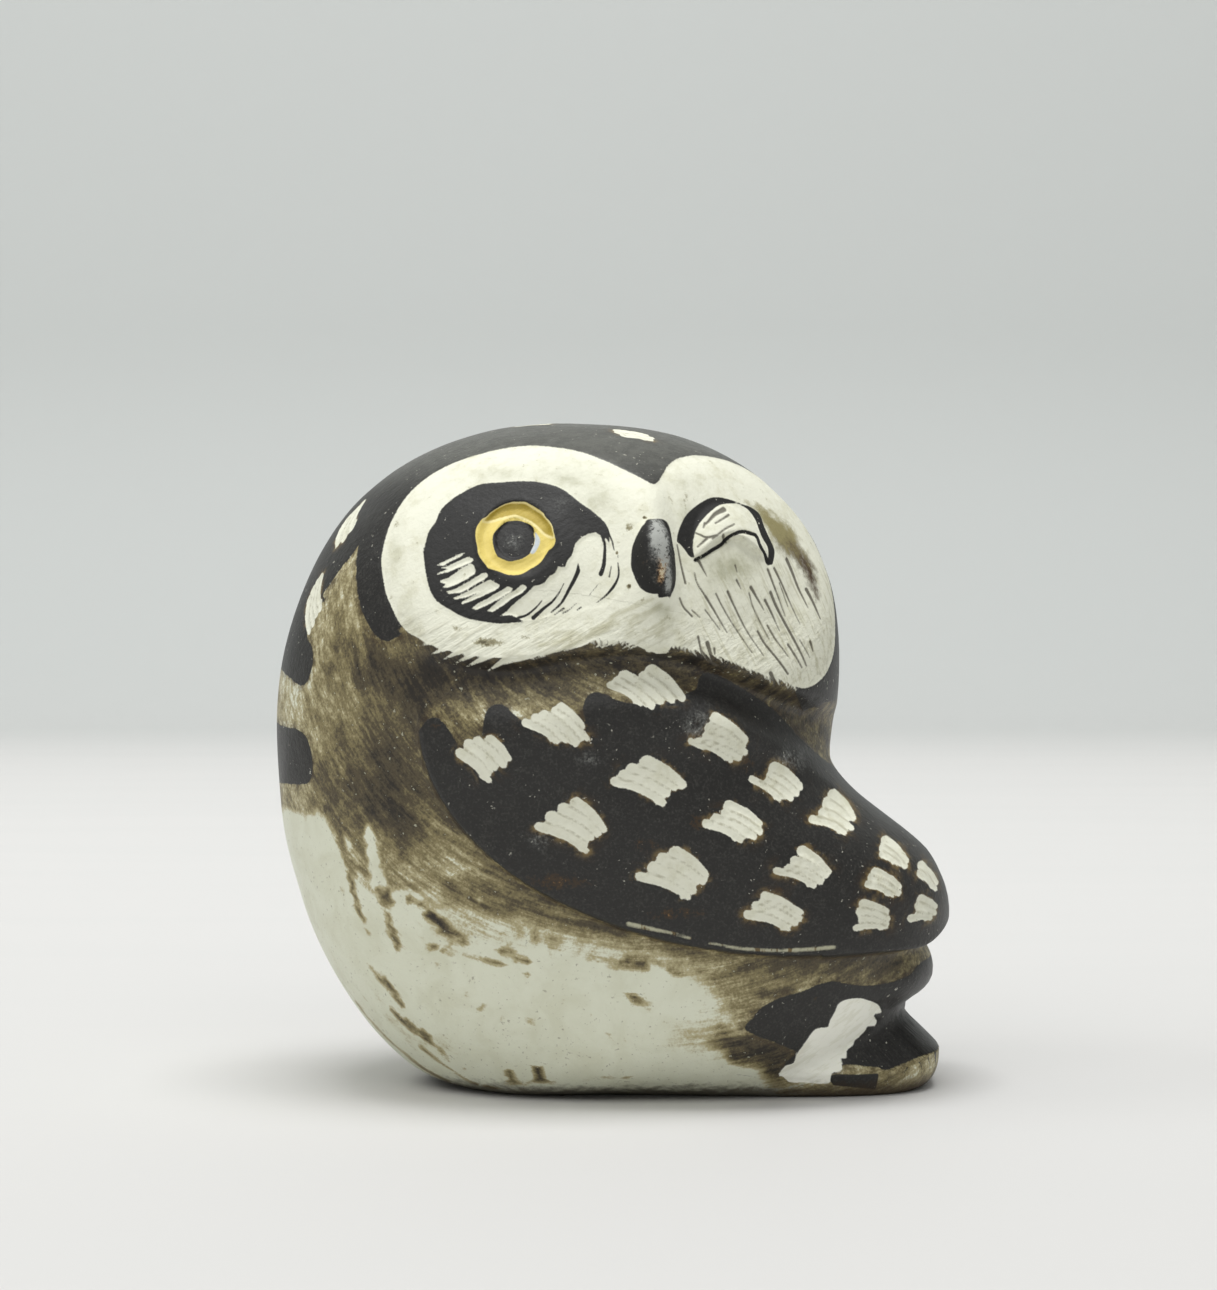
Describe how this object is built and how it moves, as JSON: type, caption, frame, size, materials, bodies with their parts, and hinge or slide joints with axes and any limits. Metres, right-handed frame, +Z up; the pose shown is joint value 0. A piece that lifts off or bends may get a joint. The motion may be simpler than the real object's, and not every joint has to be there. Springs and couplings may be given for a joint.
{
  "type": "owl figurine",
  "caption": "Small sitting owl figurine with its head turned aside, one eye open and one closed, folded wings and a short tail, standing on a flat underside.",
  "frame": {"origin": "on the flat underside, below the middle of the bounding box", "axes": "+X to the tail, -X to the breast, -Y to the owl's left side, over which its head looks, +Z up"},
  "size_m": [0.0754, 0.0528, 0.074],
  "materials": {
    "stoneware": "satin-matt cream glaze over pale stoneware, with black and brown slip, incised through to the pale clay"
  },
  "bodies": {
    "root": {"owl": "stoneware"}
  },
  "joints": []
}
